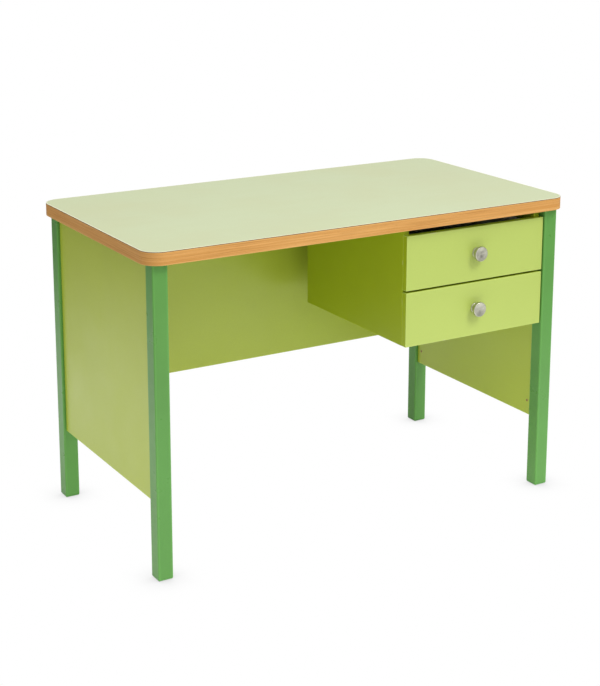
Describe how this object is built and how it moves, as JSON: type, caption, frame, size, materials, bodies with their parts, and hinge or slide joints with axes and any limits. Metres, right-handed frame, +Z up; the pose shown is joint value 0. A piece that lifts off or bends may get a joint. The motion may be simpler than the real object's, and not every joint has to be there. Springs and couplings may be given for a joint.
{
  "type": "teacher desk",
  "caption": "Desk with a laminate worktop on square tube legs, panels on both sides and the back, and a drawer cabinet under one end.",
  "frame": {"origin": "on the floor under the middle of the worktop", "axes": "+X to the drawers' end (the right of someone sitting at the desk), +Y from the sitter to the back panel, +Z up"},
  "size_m": [1.12, 0.6, 0.745],
  "materials": {
    "worktop_laminate": "satin high-pressure laminate",
    "backer_laminate": "matt balancing laminate",
    "beech_edge": "lacquered beech edge band",
    "chipboard": "raw chipboard",
    "dowel_wood": "fluted beech, unfinished",
    "leg_paint": "semi-gloss powder coat",
    "panel_melamine": "melamine-faced board, soft sheen",
    "cabinet_melamine": "melamine-faced board, soft sheen",
    "front_melamine": "melamine-faced board, soft sheen",
    "drawer_board": "white melamine-faced board",
    "drawer_bottom_board": "white lacquered hardboard",
    "knob_steel": "lathe-turned, brushed face",
    "runner_steel": "white epoxy-coated sheet steel",
    "zinc_steel": "bright zinc plate",
    "screw_zinc": "yellow zinc plate",
    "nylon": "natural nylon"
  },
  "bodies": {
    "desk_frame": {"worktop_core": "chipboard", "worktop_laminate": "worktop_laminate", "worktop_backer": "backer_laminate", "worktop_edge_band": "beech_edge", "leg_front_left": "leg_paint", "leg_front_right": "leg_paint", "leg_rear_left": "leg_paint", "leg_rear_right": "leg_paint", "leg_foot_caps": "leg_paint", "leg_top_caps": "leg_paint", "panel_lugs": "leg_paint", "panel_screws": "screw_zinc", "left_side_panel": "panel_melamine", "right_side_panel": "panel_melamine", "back_panel": "panel_melamine", "worktop_brackets": "zinc_steel", "worktop_bracket_screws": "screw_zinc", "cabinet_left_side": "cabinet_melamine", "cabinet_right_side": "cabinet_melamine", "cabinet_bottom": "cabinet_melamine", "cabinet_back": "cabinet_melamine", "cabinet_front_rail": "cabinet_melamine", "cabinet_rear_rail": "cabinet_melamine", "cabinet_dowels": "dowel_wood", "cabinet_rail_screws": "screw_zinc", "upper_cabinet_runners": "runner_steel", "lower_cabinet_runners": "runner_steel", "cabinet_runner_axles": "zinc_steel", "cabinet_runner_screws": "screw_zinc"},
    "upper_drawer": {"upper_drawer_front": "front_melamine", "upper_drawer_inner_front": "drawer_board", "upper_drawer_left_side": "drawer_board", "upper_drawer_right_side": "drawer_board", "upper_drawer_back": "drawer_board", "upper_drawer_bottom": "drawer_bottom_board", "upper_drawer_knob": "knob_steel", "upper_drawer_knob_screw": "screw_zinc", "upper_drawer_screws": "screw_zinc", "upper_drawer_left_runner": "runner_steel", "upper_drawer_right_runner": "runner_steel", "upper_drawer_runner_screws": "screw_zinc", "upper_drawer_axles": "zinc_steel"},
    "upper_front_roller_pair": {"upper_front_rollers": "nylon"},
    "upper_rear_roller_pair": {"upper_rear_rollers": "nylon"},
    "lower_drawer": {"lower_drawer_front": "front_melamine", "lower_drawer_inner_front": "drawer_board", "lower_drawer_left_side": "drawer_board", "lower_drawer_right_side": "drawer_board", "lower_drawer_back": "drawer_board", "lower_drawer_bottom": "drawer_bottom_board", "lower_drawer_knob": "knob_steel", "lower_drawer_knob_screw": "screw_zinc", "lower_drawer_screws": "screw_zinc", "lower_drawer_left_runner": "runner_steel", "lower_drawer_right_runner": "runner_steel", "lower_drawer_runner_screws": "screw_zinc", "lower_drawer_axles": "zinc_steel"},
    "lower_front_roller_pair": {"lower_front_rollers": "nylon"},
    "lower_rear_roller_pair": {"lower_rear_rollers": "nylon"}
  },
  "joints": [
    {"name": "upper_drawer_slide", "type": "slide", "parent": "desk_frame", "child": "upper_drawer", "axis": [0, -1, 0], "range_m": [0, 0.3]},
    {"name": "upper_front_roller_spin", "type": "hinge", "parent": "desk_frame", "child": "upper_front_roller_pair", "pos_m": [0.304, -0.243, 0.6028], "axis": [1, 0, 0], "continuous": true},
    {"name": "upper_rear_roller_spin", "type": "hinge", "parent": "upper_drawer", "child": "upper_rear_roller_pair", "pos_m": [0.304, 0.1125, 0.601], "axis": [1, 0, 0], "continuous": true},
    {"name": "lower_drawer_slide", "type": "slide", "parent": "desk_frame", "child": "lower_drawer", "axis": [0, -1, 0], "range_m": [0, 0.3]},
    {"name": "lower_front_roller_spin", "type": "hinge", "parent": "desk_frame", "child": "lower_front_roller_pair", "pos_m": [0.304, -0.243, 0.4668], "axis": [1, 0, 0], "continuous": true},
    {"name": "lower_rear_roller_spin", "type": "hinge", "parent": "lower_drawer", "child": "lower_rear_roller_pair", "pos_m": [0.304, 0.1125, 0.465], "axis": [1, 0, 0], "continuous": true}
  ],
  "couplings": [
    {"joint": "upper_front_roller_spin", "follows": "upper_drawer_slide", "rad_per_m": 95.238},
    {"joint": "upper_rear_roller_spin", "follows": "upper_drawer_slide", "rad_per_m": 95.238},
    {"joint": "lower_front_roller_spin", "follows": "lower_drawer_slide", "rad_per_m": 95.238},
    {"joint": "lower_rear_roller_spin", "follows": "lower_drawer_slide", "rad_per_m": 95.238}
  ]
}
